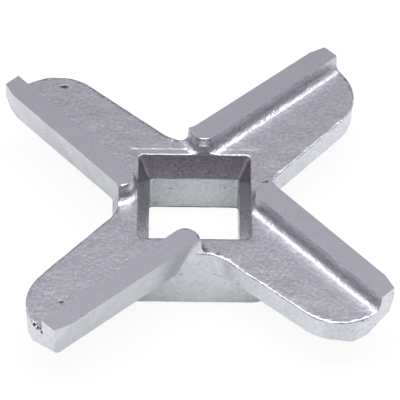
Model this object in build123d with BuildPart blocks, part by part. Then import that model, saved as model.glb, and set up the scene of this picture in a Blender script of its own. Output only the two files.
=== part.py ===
from build123d import *
from math import radians, sqrt, tan
import os

os.makedirs("parts", exist_ok=True)

# Meat grinder knife, cast in one piece. The frame stands on the middle of the
# hub's flat back, with Z along the drive hole and the ground tops facing +Z.
# All sizes are in millimetres and degrees.

# Heights, from the back of the hub
cutting_height = 8.9    # to the ground tops of the ribs
plate_height = 7.0      # to the cast face of the arms
arm_thickness = 3.0     # of an arm below that face

# Plan of one arm, from its own centre line
arm_count = 4
arm_reach = 23.25       # hole axis to the flat of the tip
lead_root = 5.9         # centre line to the cutting edge, abreast of the hole axis
lead_tip = 4.65         # the same at the tip
trail_root = 4.4        # centre line to the trailing side, abreast of the hole axis
trail_tip = 2.77        # the same at the tip
tip_round = 5.2         # plan radius from the trailing side to the tip
toe_round = 2.0         # from the underside up to the tip

# Bevel that lets the cutting edge fall away at the tip
nose_length = 1.7       # along the edge
nose_drop = 0.45        # across it, at the tip
nose_depth = 1.7        # down the tip

# Slopes of the arm's sides
rake_angle = 12.5       # leading face leans in below the cutting edge
tip_draft = 2.0         # tip leans in below the cutting edge
trail_draft = 2.0       # trailing side leans in below the plate

# Rib along the cutting edge
rib_root = 2.45         # width of its ground top, abreast of the hole axis
rib_tip = 2.2           # the same at the tip
rib_start = 3.95        # hole axis to its inner end, along the arm, before rounding
rib_end_skew = 21.0     # that end leans off square to the arm
rib_end_round = 1.4     # plan radius of that end
rib_draft = 4.0         # lean of its inner wall
rib_root_fillet = 0.8   # hollow between rib and plate

# Hub and drive hole
hub_width = 16.7        # square hub, across its back
hub_round = 2.5         # its corners
hub_draft = 4.8         # its flanks lean in towards the plate
lead_valley = 2.6       # hollow between a leading face and the hub's flank
trail_valley = 3.4      # hollow between a trailing side and the hub's flank
square_hole = 9.1       # drive hole across its flats
hole_round = 0.35       # its corners
mouth_width = 11.4      # tapered mouth of the hole, on the plate
mouth_round = 0.6       # its corners
mouth_depth = 2.4
hole_chamfer = 0.3      # its edge on the back of the hub
hub_chamfer = 0.4       # cast edge round the hub's back
foot_chamfer = 0.3      # cast edges under the arms
hub_overlap = 0.35      # an arm's root is sunk this far into the hub's flanks

underside = plate_height - arm_thickness
rib_height = cutting_height - plate_height


def side(root, tip, x):
    """Distance of a straight side from the centre line, at x along the arm."""
    return root + (tip - root) * x / arm_reach


def arm_plan(z):
    """Plan of one arm at height z, from the hub's flanks out to the tip."""
    lead_in = (cutting_height - z) * tan(radians(rake_angle))
    tip_in = (cutting_height - z) * tan(radians(tip_draft))
    trail_in = (plate_height - z) * tan(radians(trail_draft))
    corner = sqrt(2) * (hub_width / 2 - z * tan(radians(hub_draft)))
    lead_x = (corner - lead_root + lead_in) / (1 + (lead_tip - lead_root) / arm_reach)
    trail_x = (corner - trail_root + trail_in) / (1 + (trail_tip - trail_root) / arm_reach)
    end = arm_reach - tip_in
    lead_foot = (lead_x, corner - lead_x)
    trail_foot = (trail_x, trail_x - corner)
    nose_point = (end, side(lead_root, lead_tip, end) - lead_in)
    tip_point = (end, trail_in - side(trail_root, trail_tip, end))
    with BuildSketch(Plane.XY.offset(z)) as plan:
        with BuildLine():
            Polyline(
                (0, 0),
                (trail_x - trail_valley, trail_x - corner - trail_valley + hub_overlap),
                trail_foot,
                tip_point,
                nose_point,
                lead_foot,
                (lead_x - lead_valley, corner - lead_x + lead_valley - hub_overlap),
                close=True,
            )
        make_face()
        for point, radius in (
            (tip_point, tip_round),
            (lead_foot, lead_valley),
            (trail_foot, trail_valley),
        ):
            fillet(plan.vertices().sort_by_distance(point)[0], radius)
    return plan.sketch


# Room that one rib fills: its inner wall and its rounded inner end
with BuildPart() as rib_room:
    with BuildSketch(Plane.XY.offset(cutting_height)) as rib_plan:
        beyond = arm_reach + rib_root
        inner_y = side(lead_root - rib_root, lead_tip - rib_tip, rib_start)
        skew = (hub_width - inner_y) * tan(radians(rib_end_skew))
        with BuildLine():
            Polyline(
                (rib_start, inner_y),
                (beyond, side(lead_root - rib_root, lead_tip - rib_tip, beyond)),
                (beyond, hub_width),
                (rib_start + skew, hub_width),
                close=True,
            )
        make_face()
        fillet(rib_plan.vertices().sort_by_distance((rib_start, inner_y))[0], rib_end_round)
    extrude(amount=-rib_height, taper=-rib_draft)

# Everything above an arm's cast face but the rib
with BuildPart() as pan:
    with BuildSketch(Plane.XY.offset(plate_height)):
        Rectangle(4 * arm_reach, 4 * arm_reach)
    extrude(amount=rib_height)
    add(rib_room.part, mode=Mode.SUBTRACT)
    fillet(pan.faces().sort_by(Axis.Z)[0].inner_wires()[0].edges(), rib_root_fillet)

nose_y = side(lead_root, lead_tip, arm_reach)
nose_lean = nose_depth * tan(radians(rake_angle))
bevel_x = arm_reach - nose_length
bevel_start = Vector(bevel_x, side(lead_root, lead_tip, bevel_x), cutting_height)
bevel_end = Vector(arm_reach, nose_y - nose_drop, cutting_height)
bevel_heel = Vector(arm_reach, nose_y - nose_lean, cutting_height - nose_depth)
bevel_along = bevel_end - bevel_start
bevel = Plane(
    origin=bevel_start,
    x_dir=bevel_along,
    z_dir=bevel_along.cross(bevel_heel - bevel_start),
)

# Room under the rounded toe of an arm
toe_height = underside + toe_round
toe_x = arm_reach - (cutting_height - toe_height) * tan(radians(tip_draft))
with BuildPart() as toe_room:
    with BuildSketch(Plane.XZ):
        with Locations((toe_x, underside)):
            Rectangle(2 * toe_round, 2 * toe_round)
        with Locations((toe_x - toe_round, toe_height)):
            Circle(toe_round, mode=Mode.SUBTRACT)
    extrude(amount=hub_width, both=True)


def outside(edge):
    """Whether an edge of the arm keeps clear of the hole axis, within the hub."""
    return min((edge @ 0).X, (edge @ 1).X) > square_hole / 4


# One arm: its leading face leans in from the cutting edge to the underside
with BuildPart() as arm:
    loft([arm_plan(underside), arm_plan(cutting_height)], ruled=True)
    foot_edges = arm.faces().sort_by(Axis.Z)[0].edges()
    chamfer(foot_edges.filter_by(outside), foot_chamfer)
    add(toe_room.part, mode=Mode.SUBTRACT)
    split(bisect_by=bevel, keep=Keep.BOTTOM)
    add(pan.part, mode=Mode.SUBTRACT)

throat_height = plate_height - mouth_depth
mouth_taper = (mouth_width - square_hole) / 2 / mouth_depth
mouth_top = mouth_width + 2 * rib_root_fillet * mouth_taper

with BuildPart() as grinder_knife:
    with BuildSketch():
        RectangleRounded(hub_width, hub_width, hub_round)
    extrude(amount=plate_height, taper=hub_draft)
    chamfer(grinder_knife.faces().sort_by(Axis.Z)[0].edges(), hub_chamfer)
    with PolarLocations(0, arm_count, start_angle=45):
        add(arm.part)
    with BuildSketch():
        RectangleRounded(square_hole, square_hole, hole_round)
    extrude(amount=plate_height, mode=Mode.SUBTRACT)
    with BuildSketch(Plane.XY.offset(plate_height + rib_root_fillet)):
        RectangleRounded(mouth_top, mouth_top, mouth_round)
    with BuildSketch(Plane.XY.offset(throat_height)):
        RectangleRounded(square_hole, square_hole, hole_round)
    loft(ruled=True, mode=Mode.SUBTRACT)
    chamfer(grinder_knife.faces().sort_by(Axis.Z)[0].inner_wires()[0].edges(), hole_chamfer)

grinder_knife.part.label = "grinder_knife"
export_step(grinder_knife.part, "parts/grinder_knife.step")
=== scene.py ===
from math import atan2, cos, pi, radians, sin, sqrt

import bmesh
import bpy
from mathutils import Matrix, Vector, noise


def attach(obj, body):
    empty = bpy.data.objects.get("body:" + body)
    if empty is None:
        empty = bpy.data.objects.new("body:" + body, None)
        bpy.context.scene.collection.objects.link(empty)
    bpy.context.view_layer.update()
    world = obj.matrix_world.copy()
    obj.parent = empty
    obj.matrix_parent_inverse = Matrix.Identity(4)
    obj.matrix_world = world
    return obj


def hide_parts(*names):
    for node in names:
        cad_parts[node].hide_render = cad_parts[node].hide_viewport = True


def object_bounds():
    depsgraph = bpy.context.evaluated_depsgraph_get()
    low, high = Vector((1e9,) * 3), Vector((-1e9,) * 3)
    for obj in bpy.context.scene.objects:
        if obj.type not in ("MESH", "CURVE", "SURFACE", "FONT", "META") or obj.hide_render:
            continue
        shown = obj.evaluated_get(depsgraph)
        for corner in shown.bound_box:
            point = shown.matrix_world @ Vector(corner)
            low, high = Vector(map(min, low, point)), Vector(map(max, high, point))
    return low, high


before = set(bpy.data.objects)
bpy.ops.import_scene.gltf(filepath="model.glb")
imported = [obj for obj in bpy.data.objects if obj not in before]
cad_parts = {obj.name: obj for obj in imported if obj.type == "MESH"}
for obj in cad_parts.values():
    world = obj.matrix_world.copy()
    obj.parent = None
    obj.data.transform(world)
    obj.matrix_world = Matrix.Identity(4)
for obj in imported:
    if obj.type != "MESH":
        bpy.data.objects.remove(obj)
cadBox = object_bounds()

# Meat grinder knife, one casting, on a white studio floor.
# The knife is worked on in millimetres and brought back to metres at the end.

metresPerMm = 0.001


def selectOnly(item):
    bpy.ops.object.select_all(action="DESELECT")
    item.select_set(True)
    bpy.context.view_layer.objects.active = item


def smoothStep(low, high, value):
    # high may lie below low, the step then falls
    t = min(max((value - low) / (high - low), 0.0), 1.0)
    return t * t * (3 - 2 * t)


knife = {
    "node": "grinder_knife",
    "arms": 4,
    "firstArm": 45,            # degrees, the others follow a quarter turn apart
    "castTop": 7.0,            # mm, cast face of the arms
    "cuttingTop": 8.9,         # mm, ground tops of the ribs
    "underside": 4.0,          # mm, of the arms
    "hubReach": 8.2,           # mm, hole axis to the start of the leading faces
    "mouthHalf": 5.7,          # mm, hole axis to the rim of the tapered mouth
    "throat": 4.6,             # mm, height where the mouth's taper ends
    "footShadowTop": 0.43,           # mm, top of a painted shadow band round the hole's back edge
    # mesh
    "mergeGap": 0.004,         # mm, joins the loose triangles of the solid
    "flatAngle": 0.5,          # degrees, faces flatter than this become one
    "gridStep": 0.4,           # mm between the cuts that let the skin be uneven
    "cutGap": 1e-5,            # mm, a cut keeps to points closer than this
    "smoothAngle": 30,         # degrees, flatter edges are shaded smooth
    # worn edges
    "edgeAngle": 32,           # degrees, sharper edges are worn round
    "brinkWidth": 0.14,        # mm, of the cast edges of the plate
    "edgeShare": 0.3,          # of that on the other cast edges, ground ones stay sharp
    "edgeSegments": 2,
    "sameHeight": 0.01,        # mm, within which an edge lies on the plate or on a rib's top
    "mouthMargin": 0.1,        # mm, on either side of the mouth's rim
    # uneven skin
    "backFlat": 0.05,          # mm, the hub's back stays flat below this
    "skinWave": 0.03,          # mm, unevenness of the cast skin
    "waveSize": 1.3,           # mm
    "rootWave": 0.03,          # mm, more of it in hollows and on brinks
    "rootWaveSize": 0.6,       # mm
    "rootFlattest": (0.99, 0.93),    # upward part of the normal, where that sets in
    "rootSteepest": (0.1, 0.3),      # and where it ends
    "groundWave": 0.004,       # mm, unevenness of the ground faces
    # rim of the mouth and the ledge behind it
    "rimRound": 0.24,          # mm, soft edge of the rim
    "rimFall": 0.02,           # mm
    "rimBelow": (0.6, 0.1),    # mm below the plate, from none to all of it
    "rimAbove": (0.05, 0.8),   # mm above the plate, from all to none of it
    "ledgeStart": 0.68,        # mm, rim to the foot of the ledge behind it
    "ledgeEnd": 0.82,          # mm, rim to the top of the ledge
    "ledgeFall": 0.02,         # mm
    "ledgeSide": (-0.1, 0.4),  # mm past the rim, the ledge is at the back only
    # toe of an arm
    "toeEnd": 23.15,           # mm, hole axis to the tip above its rounded toe
    "toeRound": 2.0,           # mm, toe at the cutting edge
    "toeSharp": 0.8,           # mm, the same toe from the middle of the tip on
    "toeTop": 6.8,             # mm, height that the toe's change fades out at
    "toeLead": 4.0,            # mm off the arm's middle, fully round
    "toeMiddle": 0.4,          # mm off the arm's middle, fully sharp
    # where the face is pitted and its brink chipped: middle, half sizes and depth
    "pits": (
        ((-13.46, 15.09, 7), (0.46, 0.2), 0.06),
        ((-12.97, -14.1, 7), (0.24, 0.13), 0.04),
        ((-15.5, -17.0, 7), (0.2, 0.22), 0.1),
        ((-15.15, -17.45, 7), (0.16, 0.16), 0.08),
        ((-14.65, -17.95, 7), (0.2, 0.2), 0.12),
    ),
    "pitHeight": 0.2,          # mm, above and below its middle
    "pitCuts": (-1, -0.5, 0, 0.5, 1),    # of its half size
    "pitEdge": 0.05,           # share of a pit's depth that is dark
    # where a finish ends, as a part of the normal
    "groundFacing": 0.9,
    "groundDepth": 0.05,       # mm below the ribs' tops
    "holeFacing": -0.3,        # upwards, of the hole's wall at least
    "mouthFacing": 0.7,        # upwards, of the mouth's taper at most
    "wallFacing": -0.8,        # away from the cutting edge, of a rib's wall
    "plateFacing": 0.95,       # upwards, of the plate at least
    "rootFacing": 0.12,        # upwards, of a hollow at least
    "flankFacing": 0.95,       # sideways, of the hub's flanks
    "skinDepth": 0.15,         # mm below the plate, brink and rim
}


def copySolid(settings, name):
    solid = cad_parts[settings["node"]]
    piece = bpy.data.objects.new(name, solid.data.copy())
    bpy.context.scene.collection.objects.link(piece)
    piece.data.materials.clear()
    piece.data.transform(Matrix.Scale(1 / metresPerMm, 4))
    selectOnly(piece)
    bpy.ops.object.mode_set(mode="EDIT")
    bpy.ops.mesh.select_all(action="SELECT")
    bpy.ops.mesh.remove_doubles(threshold=settings["mergeGap"])
    bpy.ops.mesh.dissolve_degenerate(threshold=settings["mergeGap"])
    bpy.ops.mesh.dissolve_limited(angle_limit=radians(settings["flatAngle"]))
    bpy.ops.object.mode_set(mode="OBJECT")
    return piece


def wearWeight(edge, settings):
    # the plate's cast brinks are rounder than the other cast edges
    heights = [vertex.co.z for vertex in edge.verts]
    if max(heights) > settings["cuttingTop"] - settings["sameHeight"]:
        return 0
    fromPlate = max(abs(height - settings["castTop"]) for height in heights)
    fromAxis = max(max(abs(vertex.co.x), abs(vertex.co.y)) for vertex in edge.verts)
    atMouth = fromAxis < settings["mouthHalf"] + settings["mouthMargin"]
    return 1 if fromPlate < settings["sameHeight"] and not atMouth else settings["edgeShare"]


def wearEdges(piece, settings):
    shape = bmesh.new()
    shape.from_mesh(piece.data)
    weights = shape.edges.layers.float.new("bevel_weight_edge")
    for edge in shape.edges:
        if edge.is_convex and edge.calc_face_angle(0) >= radians(settings["edgeAngle"]):
            edge[weights] = wearWeight(edge, settings)
    shape.to_mesh(piece.data)
    shape.free()
    wear = piece.modifiers.new("wear", "BEVEL")
    wear.limit_method = "WEIGHT"
    wear.width = settings["brinkWidth"]
    wear.segments = settings["edgeSegments"]
    wear.use_clamp_overlap = False
    selectOnly(piece)
    bpy.ops.object.modifier_apply(modifier=wear.name)


def pitShare(place, pit, settings):
    # 1 in the middle of a pit, 0 from its edge on
    middle, sizes = pit[:2]
    if abs(place.z - middle[2]) > settings["pitHeight"]:
        return 0
    out = sum(((place[axis] - middle[axis]) / sizes[axis]) ** 2 for axis in range(2))
    return max(0, 1 - out)


def gridPlaces(low, high, step):
    count = round((high - low) / step)
    return [low + (high - low) * index / count for index in range(1, count)]


def cutGrid(piece, settings):
    lowest, highest = (Vector(corner) / metresPerMm for corner in cadBox)
    rim = settings["mouthHalf"]
    start, end = settings["ledgeStart"], settings["ledgeEnd"]
    outwards = (settings["rimRound"] / 2, settings["rimRound"], start, (start + end) / 2, end)
    rimPlaces = [rim + out for out in outwards]
    selectOnly(piece)
    bpy.ops.object.mode_set(mode="EDIT")
    for axis in range(3):
        places = gridPlaces(lowest[axis], highest[axis], settings["gridStep"])
        if axis < 2:
            places += rimPlaces + [-place for place in rimPlaces]
            for middle, sizes, _ in settings["pits"]:
                places += [middle[axis] + sizes[axis] * share for share in settings["pitCuts"]]
        else:
            # a cut where the painted shadow band at the hole's foot ends
            places.append(settings["footShadowTop"])
        for place in places:
            point, normal = Vector((0, 0, 0)), Vector((0, 0, 0))
            point[axis] = place
            normal[axis] = 1
            bpy.ops.mesh.select_all(action="SELECT")
            bpy.ops.mesh.bisect(plane_co=point, plane_no=normal, threshold=settings["cutGap"])
    bpy.ops.object.mode_set(mode="OBJECT")


def armWays(point, settings):
    # along the nearest arm, and the way that its leading face looks
    quarter = 2 * pi / settings["arms"]
    first = radians(settings["firstArm"])
    turns = round((atan2(point.y, point.x) - first) / quarter)
    angle = first + turns * quarter
    return Vector((cos(angle), sin(angle), 0)), Vector((-sin(angle), cos(angle), 0))


def toeHeight(reach, roundness, settings):
    # height of the toe's skin at a reach along the arm
    inward = max(0, min(roundness, settings["toeEnd"] - reach))
    return settings["underside"] + roundness - sqrt(roundness ** 2 - (roundness - inward) ** 2)


def fillToe(place, settings):
    # the toe is round at the cutting edge and sharper along the rest of the tip
    along, leading = armWays(place, settings)
    reach, off = place.dot(along), place.dot(leading)
    top = settings["toeTop"]
    if place.z >= top or reach < settings["toeEnd"] - settings["toeRound"]:
        return
    share = smoothStep(settings["toeMiddle"], settings["toeLead"], off)
    roundness = settings["toeSharp"] + (settings["toeRound"] - settings["toeSharp"]) * share
    before = toeHeight(reach, settings["toeRound"], settings)
    after = toeHeight(reach, roundness, settings)
    place.z = top - (top - place.z) * (top - after) / (top - before)


def isGround(point, normal, settings):
    facing = settings["groundFacing"]
    onTop = point.z > settings["cuttingTop"] - settings["groundDepth"] and normal.z > facing
    fromAxis = Vector((point.x, point.y)).length
    leadFacing = normal.dot(armWays(point, settings)[1])
    return onTop or (leadFacing > facing and fromAxis > settings["hubReach"])


def rimDrop(place, settings):
    # how far the plate falls at the mouth's rim and before the ledge behind it
    rim, top = settings["mouthHalf"], settings["castTop"]
    fromRim = max(abs(place.x), abs(place.y)) - rim
    if fromRim < -settings["mouthMargin"]:
        return 0
    farBelow, nearBelow = settings["rimBelow"]
    nearAbove, farAbove = settings["rimAbove"]
    atTop = smoothStep(top - farBelow, top - nearBelow, place.z)
    atTop *= 1 - smoothStep(top + nearAbove, top + farAbove, place.z)
    fall = settings["rimFall"] * (1 - smoothStep(0, settings["rimRound"], fromRim))
    ledgeFrom, ledgeTo = settings["ledgeSide"]
    behind = smoothStep(rim + ledgeFrom, rim + ledgeTo, place.y)
    ledge = 1 - smoothStep(settings["ledgeStart"], settings["ledgeEnd"], fromRim)
    fall += settings["ledgeFall"] * ledge * behind
    return fall * atTop


def unevenSkin(piece, settings):
    mesh = piece.data
    normals = [vertex.normal.copy() for vertex in mesh.vertices]
    ground = set()
    for face in mesh.polygons:
        if isGround(face.center, face.normal, settings):
            ground.update(face.vertices)
    for vertex, normal in zip(mesh.vertices, normals):
        place = vertex.co.copy()
        if place.z < settings["backFlat"]:
            continue
        wave = noise.noise(place / settings["waveSize"])
        if vertex.index in ground:
            vertex.co += normal * settings["groundWave"] * wave
            continue
        vertex.co += normal * settings["skinWave"] * wave
        sloped = smoothStep(*settings["rootFlattest"], normal.z)
        sloped *= smoothStep(*settings["rootSteepest"], normal.z)
        rootWave = noise.noise(place / settings["rootWaveSize"])
        vertex.co += normal * settings["rootWave"] * sloped * rootWave
        vertex.co.z -= rimDrop(place, settings)
    for vertex in mesh.vertices:
        fillToe(vertex.co, settings)
        for pit in settings["pits"]:
            vertex.co.z -= pit[2] * pitShare(vertex.co, pit, settings)


def finishName(point, normal, settings):
    fromAxis = max(abs(point.x), abs(point.y))
    inHole = fromAxis < settings["mouthHalf"]
    top = settings["castTop"]
    skinBottom = top - settings["skinDepth"]
    if max(pitShare(point, pit, settings) for pit in settings["pits"]) > settings["pitEdge"]:
        return "pitAndShadowSteel"
    if isGround(point, normal, settings):
        return "groundSteel"
    # painted shade: the hole's wall is darker
    if inHole and point.z < settings["throat"] and normal.z > settings["holeFacing"]:
        # painted shadow: a dark band along the foot of the hole's wall
        return "pitAndShadowSteel" if point.z < settings["footShadowTop"] else "shadedHoleSteel"
    # painted shade: the mouth's taper is darker
    if inHole and point.z < skinBottom and normal.z < settings["mouthFacing"]:
        return "shadedMouthSteel"
    onWall = normal.dot(armWays(point, settings)[1]) < settings["wallFacing"]
    atRoot = onWall or normal.z > settings["rootFacing"]
    if point.z > skinBottom and normal.z < settings["plateFacing"] and atRoot:
        return "rootSteel"
    # painted shade: the hub's flanks are darker
    if point.z < top and max(abs(normal.x), abs(normal.y)) > settings["flankFacing"]:
        return "shadedHubSteel"
    return "castSteel"


def paintFinishes(piece, settings):
    places = {material.name: index for index, material in enumerate(piece.data.materials)}
    for face in piece.data.polygons:
        face.material_index = places[finishName(face.center, face.normal, settings)]


def link(tree, start, end):
    tree.links.new(start, end)


def rangeNode(nodes, low, high, first, last):
    node = nodes.new("ShaderNodeMapRange")
    node.inputs["From Min"].default_value = low
    node.inputs["From Max"].default_value = high
    node.inputs["To Min"].default_value = first
    node.inputs["To Max"].default_value = last
    return node


def noiseNode(nodes, detail, roughness):
    node = nodes.new("ShaderNodeTexNoise")
    node.inputs["Detail"].default_value = detail
    node.inputs["Roughness"].default_value = roughness
    return node


def mixNode(nodes, kind):
    node = nodes.new("ShaderNodeMix")
    node.data_type = "RGBA"
    node.blend_type = kind
    return node


def mathNode(nodes, operation):
    node = nodes.new("ShaderNodeMath")
    node.operation = operation
    return node


# the patterns of the steel skin, shared by all its finishes
skinPattern = {
    "grain": (5, 0.62),                # detail and roughness of each noise
    "blotch": (3, 0.5),
    "pit": (2, 0.5),
    "grainRange": (0.32, 0.68),        # part of the noise that goes from dark to light
    "blotchRange": (0.35, 0.65),
    "blotchShade": (0.6, 1.0),         # darkest and lightest blotch
    "pitRange": (0.66, 0.74),          # the rarest peaks of the noise are pits
    "pitColor": (0.03, 0.03, 0.035, 1),
    "inputs": (
        ("Dark", "Color"), ("Light", "Color"), ("Grain Scale", "Float"),
        ("Blotch Scale", "Float"), ("Blotch Amount", "Float"), ("Pit Scale", "Float"),
        ("Pit Amount", "Float"), ("Smooth", "Float"), ("Rough", "Float"),
    ),
    "outputs": (("Color", "Color"), ("Roughness", "Float"), ("Height", "Float")),
}


def steelSkinGroup(settings):
    # grain, darker blotches and small pits of a metal skin; scales are per metre
    group = bpy.data.node_groups.new("steelSkin", "ShaderNodeTree")
    for way, sockets in (("INPUT", settings["inputs"]), ("OUTPUT", settings["outputs"])):
        for name, kind in sockets:
            group.interface.new_socket(name, in_out=way, socket_type="NodeSocket" + kind)
    nodes = group.nodes
    start, end = nodes.new("NodeGroupInput"), nodes.new("NodeGroupOutput")
    place = nodes.new("ShaderNodeTexCoord")
    grain, blotch, pit = (noiseNode(nodes, *settings[name]) for name in ("grain", "blotch", "pit"))
    for texture, scale in ((grain, "Grain Scale"), (blotch, "Blotch Scale"), (pit, "Pit Scale")):
        link(group, place.outputs["Object"], texture.inputs["Vector"])
        link(group, start.outputs[scale], texture.inputs["Scale"])
    tone = rangeNode(nodes, *settings["grainRange"], 0, 1)
    link(group, grain.outputs["Fac"], tone.inputs["Value"])
    grainColor = mixNode(nodes, "MIX")
    link(group, tone.outputs["Result"], grainColor.inputs["Factor"])
    link(group, start.outputs["Dark"], grainColor.inputs["A"])
    link(group, start.outputs["Light"], grainColor.inputs["B"])
    blotchShade = rangeNode(nodes, *settings["blotchRange"], *settings["blotchShade"])
    link(group, blotch.outputs["Fac"], blotchShade.inputs["Value"])
    blotched = mixNode(nodes, "MULTIPLY")
    link(group, start.outputs["Blotch Amount"], blotched.inputs["Factor"])
    link(group, grainColor.outputs["Result"], blotched.inputs["A"])
    link(group, blotchShade.outputs["Result"], blotched.inputs["B"])
    pitMask = rangeNode(nodes, *settings["pitRange"], 0, 1)
    link(group, pit.outputs["Fac"], pitMask.inputs["Value"])
    pitAmount = mathNode(nodes, "MULTIPLY")
    link(group, pitMask.outputs["Result"], pitAmount.inputs[0])
    link(group, start.outputs["Pit Amount"], pitAmount.inputs[1])
    pitted = mixNode(nodes, "MIX")
    pitted.inputs["B"].default_value = settings["pitColor"]
    link(group, pitAmount.outputs["Value"], pitted.inputs["Factor"])
    link(group, blotched.outputs["Result"], pitted.inputs["A"])
    shine = rangeNode(nodes, *settings["blotchRange"], 0, 1)
    link(group, blotch.outputs["Fac"], shine.inputs["Value"])
    link(group, start.outputs["Rough"], shine.inputs["To Min"])
    link(group, start.outputs["Smooth"], shine.inputs["To Max"])
    link(group, pitted.outputs["Result"], end.inputs["Color"])
    link(group, shine.outputs["Result"], end.inputs["Roughness"])
    link(group, grain.outputs["Fac"], end.inputs["Height"])
    return group


steelSkin = steelSkinGroup(skinPattern)

castSteel = {
    "sockets": {
        "Dark": (0.54, 0.565, 0.6, 1),
        "Light": (0.67, 0.695, 0.73, 1),
        "Grain Scale": 2600,
        "Blotch Scale": 260,
        "Blotch Amount": 0.2,
        "Pit Scale": 3000,
        "Pit Amount": 0.4,
        "Smooth": 0.2,
        "Rough": 0.27,
    },
    "bump": 1.0,
    "bumpDepth": 0.00004,
}

groundSteel = {
    "sockets": {
        "Dark": (0.54, 0.565, 0.6, 1),
        "Light": (0.6, 0.63, 0.665, 1),
        "Grain Scale": 5200,
        "Blotch Scale": 420,
        "Blotch Amount": 0.25,
        "Pit Scale": 3000,
        "Pit Amount": 0,
        "Smooth": 0.24,
        "Rough": 0.3,
    },
    "bump": 0.4,
    "bumpDepth": 0.00001,
}

rootSteel = {
    "sockets": {
        "Dark": (0.5, 0.5, 0.54, 1),
        "Light": (0.7, 0.71, 0.75, 1),
        "Grain Scale": 3200,
        "Blotch Scale": 520,
        "Blotch Amount": 0.25,
        "Pit Scale": 3000,
        "Pit Amount": 0.35,
        "Smooth": 0.16,
        "Rough": 0.24,
    },
    "bump": 1.0,
    "bumpDepth": 0.00011,
}

# painted shade: darker steel on the mouth's taper, standing in for the shade inside the hole
shadedMouthSteel = {
    "sockets": {
        "Dark": (0.36, 0.345, 0.375, 1),
        "Light": (0.58, 0.565, 0.615, 1),
        "Grain Scale": 3400,
        "Blotch Scale": 500,
        "Blotch Amount": 0.3,
        "Pit Scale": 3400,
        "Pit Amount": 0.7,
        "Smooth": 0.16,
        "Rough": 0.24,
    },
    "bump": 1.0,
    "bumpDepth": 0.00009,
}

# painted shade: darker steel on the hole's wall, standing in for the shade inside the hole
shadedHoleSteel = {
    "sockets": {
        "Dark": (0.37, 0.39, 0.405, 1),
        "Light": (0.46, 0.485, 0.505, 1),
        "Grain Scale": 2600,
        "Blotch Scale": 260,
        "Blotch Amount": 0.2,
        "Pit Scale": 3000,
        "Pit Amount": 0.5,
        "Smooth": 0.22,
        "Rough": 0.3,
    },
    "bump": 1.0,
    "bumpDepth": 0.00003,
}

# painted shade: darker steel on the hub's flanks, standing in for the shadowed floor that they
# reflect
shadedHubSteel = {
    "sockets": {
        "Dark": (0.48, 0.505, 0.525, 1),
        "Light": (0.57, 0.6, 0.62, 1),
        "Grain Scale": 2600,
        "Blotch Scale": 260,
        "Blotch Amount": 0.15,
        "Pit Scale": 3000,
        "Pit Amount": 0.4,
        "Smooth": 0.22,
        "Rough": 0.3,
    },
    "bump": 1.0,
    "bumpDepth": 0.00003,
}

# dark steel of the pits and chips, also the painted shadow band along the foot of the hole's wall
pitAndShadowSteel = {
    "sockets": {
        "Dark": (0.06, 0.06, 0.065, 1),
        "Light": (0.16, 0.16, 0.17, 1),
        "Grain Scale": 5200,
        "Blotch Scale": 520,
        "Blotch Amount": 0.2,
        "Pit Scale": 3000,
        "Pit Amount": 0,
        "Smooth": 0.8,
        "Rough": 0.9,
    },
    "bump": 0.5,
    "bumpDepth": 0.00002,
}


def steelMaterial(name, settings):
    material = bpy.data.materials.new(name)
    material.use_nodes = True
    tree = material.node_tree
    shader = tree.nodes["Principled BSDF"]
    shader.inputs["Metallic"].default_value = 1
    skin = tree.nodes.new("ShaderNodeGroup")
    skin.node_tree = steelSkin
    for socket, value in settings["sockets"].items():
        skin.inputs[socket].default_value = value
    bump = tree.nodes.new("ShaderNodeBump")
    bump.inputs["Strength"].default_value = settings["bump"]
    bump.inputs["Distance"].default_value = settings["bumpDepth"]
    link(tree, skin.outputs["Color"], shader.inputs["Base Color"])
    link(tree, skin.outputs["Roughness"], shader.inputs["Roughness"])
    link(tree, skin.outputs["Height"], bump.inputs["Height"])
    link(tree, bump.outputs["Normal"], shader.inputs["Normal"])
    return material


finishes = {
    "castSteel": castSteel,
    "groundSteel": groundSteel,
    "rootSteel": rootSteel,
    "shadedMouthSteel": shadedMouthSteel,
    "shadedHoleSteel": shadedHoleSteel,
    "shadedHubSteel": shadedHubSteel,
    "pitAndShadowSteel": pitAndShadowSteel,
}

print("knife: copy of the solid")
grinderKnife = copySolid(knife, "grinderKnife")
print("knife: worn edges")
wearEdges(grinderKnife, knife)
print("knife: uneven skin")
cutGrid(grinderKnife, knife)
unevenSkin(grinderKnife, knife)
print("knife: finishes")
for name, settings in finishes.items():
    grinderKnife.data.materials.append(steelMaterial(name, settings))
paintFinishes(grinderKnife, knife)
grinderKnife.data.transform(Matrix.Scale(metresPerMm, 4))
selectOnly(grinderKnife)
bpy.ops.object.shade_smooth_by_angle(angle=radians(knife["smoothAngle"]))

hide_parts(knife["node"])
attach(grinderKnife, "root")
print("knife: faces", len(grinderKnife.data.polygons))

studio = {
    "floorSize": 3.0,            # metres
    "floorHeight": -0.00005,     # metres, just clear of the hub's back
    "floorColor": (0.9, 0.9, 0.9, 1),
    "floorRoughness": 0.9,
    "floorWhite": 0.92,          # share of plain white that the camera sees
    "steelWhite": 0.4,           # share of it that the steel sees
    "sideLamp": 2.4,             # watts
    "sideLampSize": 0.46,        # metres
    "sideLampPlace": (0.2, 0.0, 0.66),
    "skyHigh": (0.77, 0.71, 0.78, 1),
    "skyLow": (0.035, 0.026, 0.036, 1),
    "skyRange": (0.1, 1.0),      # upward part of a direction, from low to high sky
    "sideGlow": (0.85, 0.82, 0.88, 1),    # on the left and on the right
    "sideRange": (0.7, 0.9),     # sideways part, from no glow to all of it
    "glowRange": (0.1, 0.7),     # upward part, from the glow's low share to all
    "glowLow": 0.55,
}


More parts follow.
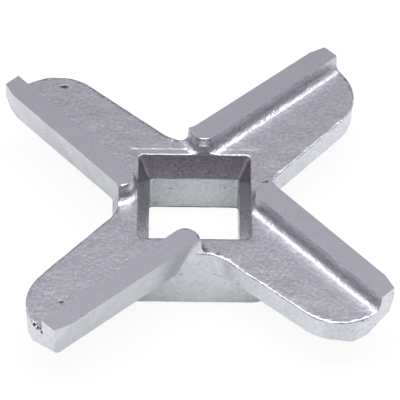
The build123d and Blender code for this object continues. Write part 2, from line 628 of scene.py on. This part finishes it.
def makeFloor(settings):
    place = (0, 0, settings["floorHeight"])
    bpy.ops.object.select_all(action="DESELECT")
    bpy.ops.mesh.primitive_plane_add(size=settings["floorSize"], location=place)
    plane = bpy.context.object
    plane.name = "floor"
    material = bpy.data.materials.new("paleFloor")
    material.use_nodes = True
    tree = material.node_tree
    nodes = tree.nodes
    shader = nodes["Principled BSDF"]
    shader.inputs["Base Color"].default_value = settings["floorColor"]
    shader.inputs["Roughness"].default_value = settings["floorRoughness"]
    shader.inputs["Specular IOR Level"].default_value = 0
    white = nodes.new("ShaderNodeEmission")
    path = nodes.new("ShaderNodeLightPath")
    metal, seen = mathNode(nodes, "MAXIMUM"), mathNode(nodes, "MAXIMUM")
    cameraShare, metalShare = mathNode(nodes, "MULTIPLY"), mathNode(nodes, "MULTIPLY")
    cameraShare.inputs[1].default_value = settings["floorWhite"]
    metalShare.inputs[1].default_value = settings["steelWhite"]
    mix = nodes.new("ShaderNodeMixShader")
    link(tree, path.outputs["Is Camera Ray"], cameraShare.inputs[0])
    link(tree, path.outputs["Is Glossy Ray"], metal.inputs[0])
    link(tree, path.outputs["Is Transmission Ray"], metal.inputs[1])
    link(tree, metal.outputs["Value"], metalShare.inputs[0])
    link(tree, cameraShare.outputs["Value"], seen.inputs[0])
    link(tree, metalShare.outputs["Value"], seen.inputs[1])
    link(tree, seen.outputs["Value"], mix.inputs["Fac"])
    link(tree, shader.outputs["BSDF"], mix.inputs[1])
    link(tree, white.outputs["Emission"], mix.inputs[2])
    link(tree, mix.outputs["Shader"], nodes["Material Output"].inputs["Surface"])
    plane.data.materials.append(material)


def makeLamp(name, place, settings):
    lampData = bpy.data.lights.new(name, "AREA")
    lampData.energy = settings["sideLamp"]
    lampData.size = settings["sideLampSize"]
    lamp = bpy.data.objects.new(name, lampData)
    bpy.context.scene.collection.objects.link(lamp)
    lamp.location = place
    lamp.rotation_euler = (-Vector(place)).to_track_quat("-Z", "Y").to_euler()


def makeWorld(settings):
    world = bpy.data.worlds.new("studio")
    bpy.context.scene.world = world
    world.use_nodes = True
    tree = world.node_tree
    nodes = tree.nodes
    place = nodes.new("ShaderNodeTexCoord")
    split = nodes.new("ShaderNodeSeparateXYZ")
    height = rangeNode(nodes, *settings["skyRange"], 0, 1)
    height.interpolation_type = "SMOOTHSTEP"
    sky = mixNode(nodes, "MIX")
    sky.inputs["A"].default_value = settings["skyLow"]
    sky.inputs["B"].default_value = settings["skyHigh"]
    aside = mathNode(nodes, "ABSOLUTE")
    side = rangeNode(nodes, *settings["sideRange"], 0, 1)
    low = rangeNode(nodes, *settings["glowRange"], settings["glowLow"], 1)
    strip = mathNode(nodes, "MULTIPLY")
    lit = mixNode(nodes, "MIX")
    lit.inputs["B"].default_value = settings["sideGlow"]
    link(tree, place.outputs["Generated"], split.inputs["Vector"])
    link(tree, split.outputs["Z"], height.inputs["Value"])
    link(tree, height.outputs["Result"], sky.inputs["Factor"])
    link(tree, split.outputs["X"], aside.inputs[0])
    link(tree, aside.outputs["Value"], side.inputs["Value"])
    link(tree, split.outputs["Z"], low.inputs["Value"])
    link(tree, side.outputs["Result"], strip.inputs[0])
    link(tree, low.outputs["Result"], strip.inputs[1])
    link(tree, strip.outputs["Value"], lit.inputs["Factor"])
    link(tree, sky.outputs["Result"], lit.inputs["A"])
    link(tree, lit.outputs["Result"], nodes["Background"].inputs["Color"])


print("studio: floor, lamps and sky")
makeFloor(studio)
sideX, sideY, sideZ = studio["sideLampPlace"]
makeLamp("leftLamp", (-sideX, sideY, sideZ), studio)
makeLamp("rightLamp", (sideX, sideY, sideZ), studio)
makeWorld(studio)

view = {
    "aim": (0.0006, 0.0022, 0.004),    # metres
    "elevation": 47.722,         # degrees
    "azimuth": -1.196,
    "roll": 1.598,
    "distance": 0.32938,         # metres
    "focalLength": 292.28,       # mm
    "sensorWidth": 36,           # mm
}


def makeCamera(settings):
    cameraData = bpy.data.cameras.new("camera")
    cameraData.lens = settings["focalLength"]
    cameraData.sensor_width = settings["sensorWidth"]
    camera = bpy.data.objects.new("camera", cameraData)
    bpy.context.scene.collection.objects.link(camera)
    elevation, azimuth = radians(settings["elevation"]), radians(settings["azimuth"])
    level = cos(elevation)
    away = Vector((sin(azimuth) * level, -cos(azimuth) * level, sin(elevation)))
    camera.location = Vector(settings["aim"]) + away * settings["distance"]
    look = (-away).to_track_quat("-Z", "Y").to_matrix().to_4x4()
    turned = look @ Matrix.Rotation(radians(settings["roll"]), 4, "Z")
    camera.rotation_euler = turned.to_euler()
    bpy.context.scene.camera = camera


print("camera")
makeCamera(view)
bpy.context.scene.view_settings.view_transform = "Standard"
